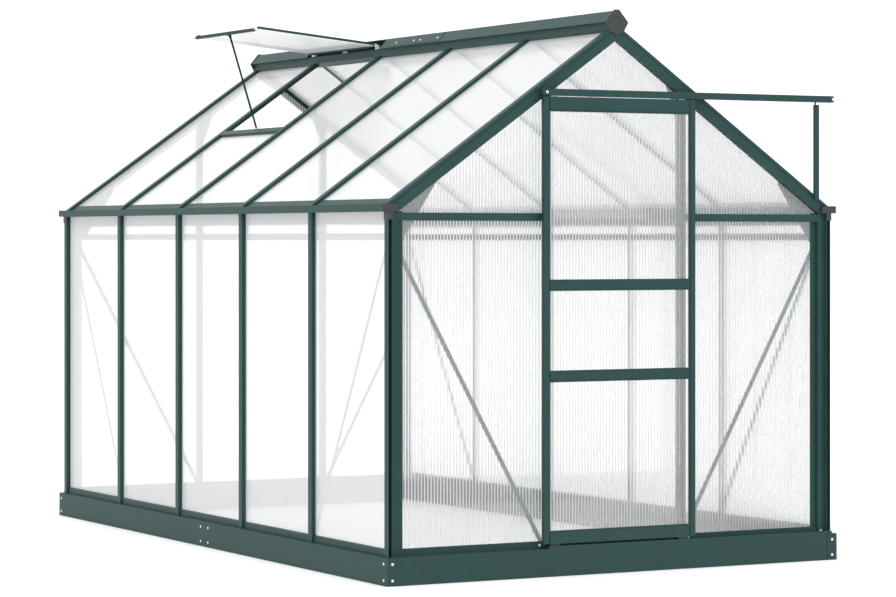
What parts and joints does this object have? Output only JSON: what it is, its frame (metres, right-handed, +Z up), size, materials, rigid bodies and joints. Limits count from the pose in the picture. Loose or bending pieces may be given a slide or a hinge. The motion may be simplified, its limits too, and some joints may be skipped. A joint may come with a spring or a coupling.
{
  "type": "greenhouse",
  "caption": "Walk-in greenhouse with an aluminium frame, translucent twin-wall panels, a sliding door, gutters and a propped roof vent.",
  "frame": {"origin": "middle of the base's underside", "axes": "+Z up, +Y along the ridge away from the door, +X the way the door opens"},
  "size_m": [1.92, 3.124, 2.0663],
  "materials": {
    "frame_paint": "dark blue-green powder coat, satin",
    "twin_wall": "translucent white twin-wall sheet with upright flutes",
    "black_trim": "charcoal moulded plastic",
    "zinc": "pale galvanised steel"
  },
  "bodies": {
    "house": {"base_left_front": "frame_paint", "base_left_rear": "frame_paint", "base_right_front": "frame_paint", "base_right_rear": "frame_paint", "base_front_board": "frame_paint", "base_rear_board": "frame_paint", "base_splices": "frame_paint", "base_corner_angles": "frame_paint", "base_screws": "zinc", "side_sills": "frame_paint", "gable_sills": "frame_paint", "corner_posts": "frame_paint", "post_top_clips": "black_trim", "left_wall_bars": "frame_paint", "right_wall_bars": "frame_paint", "rear_gable_bars": "frame_paint", "door_jambs": "frame_paint", "gable_eave_bars": "frame_paint", "door_head_bar": "frame_paint", "left_gutter": "frame_paint", "right_gutter": "frame_paint", "gutter_end_caps": "black_trim", "front_rafters": "frame_paint", "rear_rafters": "frame_paint", "left_roof_bars": "frame_paint", "right_roof_bars": "frame_paint", "ridge_beam_front": "frame_paint", "ridge_beam_rear": "frame_paint", "ridge_splice": "frame_paint", "ridge_end_caps": "black_trim", "vent_sill_bar": "frame_paint", "corner_gussets": "frame_paint", "wall_braces": "frame_paint", "gable_braces": "frame_paint", "tie_rails": "frame_paint", "tie_rail_brackets": "frame_paint", "left_wall_panels": "twin_wall", "right_wall_panels": "twin_wall", "front_gable_panels": "twin_wall", "rear_gable_panels": "twin_wall", "left_roof_panels": "twin_wall", "right_roof_panels": "twin_wall", "door_rail": "frame_paint", "rail_strut": "frame_paint", "rail_stops": "black_trim", "door_track": "frame_paint", "frame_bolts": "zinc", "vent_hinge_rod": "zinc", "stay_peg": "zinc"},
    "door": {"door_stiles": "frame_paint", "door_cross_rails": "frame_paint", "door_panes": "twin_wall", "door_hangers": "zinc", "door_shoes": "black_trim"},
    "left_roller": {"left_roller": "black_trim"},
    "right_roller": {"right_roller": "black_trim"},
    "vent": {"vent_side_rails": "frame_paint", "vent_edge_rails": "frame_paint", "vent_pane": "twin_wall"},
    "stay": {"vent_stay": "frame_paint"}
  },
  "joints": [
    {"name": "door_slide", "type": "slide", "parent": "house", "child": "door", "axis": [1, 0, 0], "range_m": [0, 0.6]},
    {"name": "left_roller_spin", "type": "hinge", "parent": "door", "child": "left_roller", "pos_m": [-0.27, -1.5425, 1.7261], "axis": [0, 1, 0], "range_deg": [0, 4410]},
    {"name": "right_roller_spin", "type": "hinge", "parent": "door", "child": "right_roller", "pos_m": [0.27, -1.5425, 1.7261], "axis": [0, 1, 0], "range_deg": [0, 4410]},
    {"name": "vent_hinge", "type": "hinge", "parent": "house", "child": "vent", "pos_m": [-0.04, 0.61, 2.00559], "axis": [0, 1, 0], "range_deg": [-43.6, 0]},
    {"name": "stay_pivot", "type": "hinge", "parent": "vent", "child": "stay", "pos_m": [-0.56386, 0.61, 2.04289], "axis": [0, 1, 0], "range_deg": [-66, 0]}
  ],
  "couplings": [
    {"joint": "left_roller_spin", "follows": "door_slide", "rad_per_m": 128.2},
    {"joint": "right_roller_spin", "follows": "door_slide", "rad_per_m": 128.2},
    {"joint": "stay_pivot", "follows": "vent_hinge", "ratio": 1.486}
  ]
}
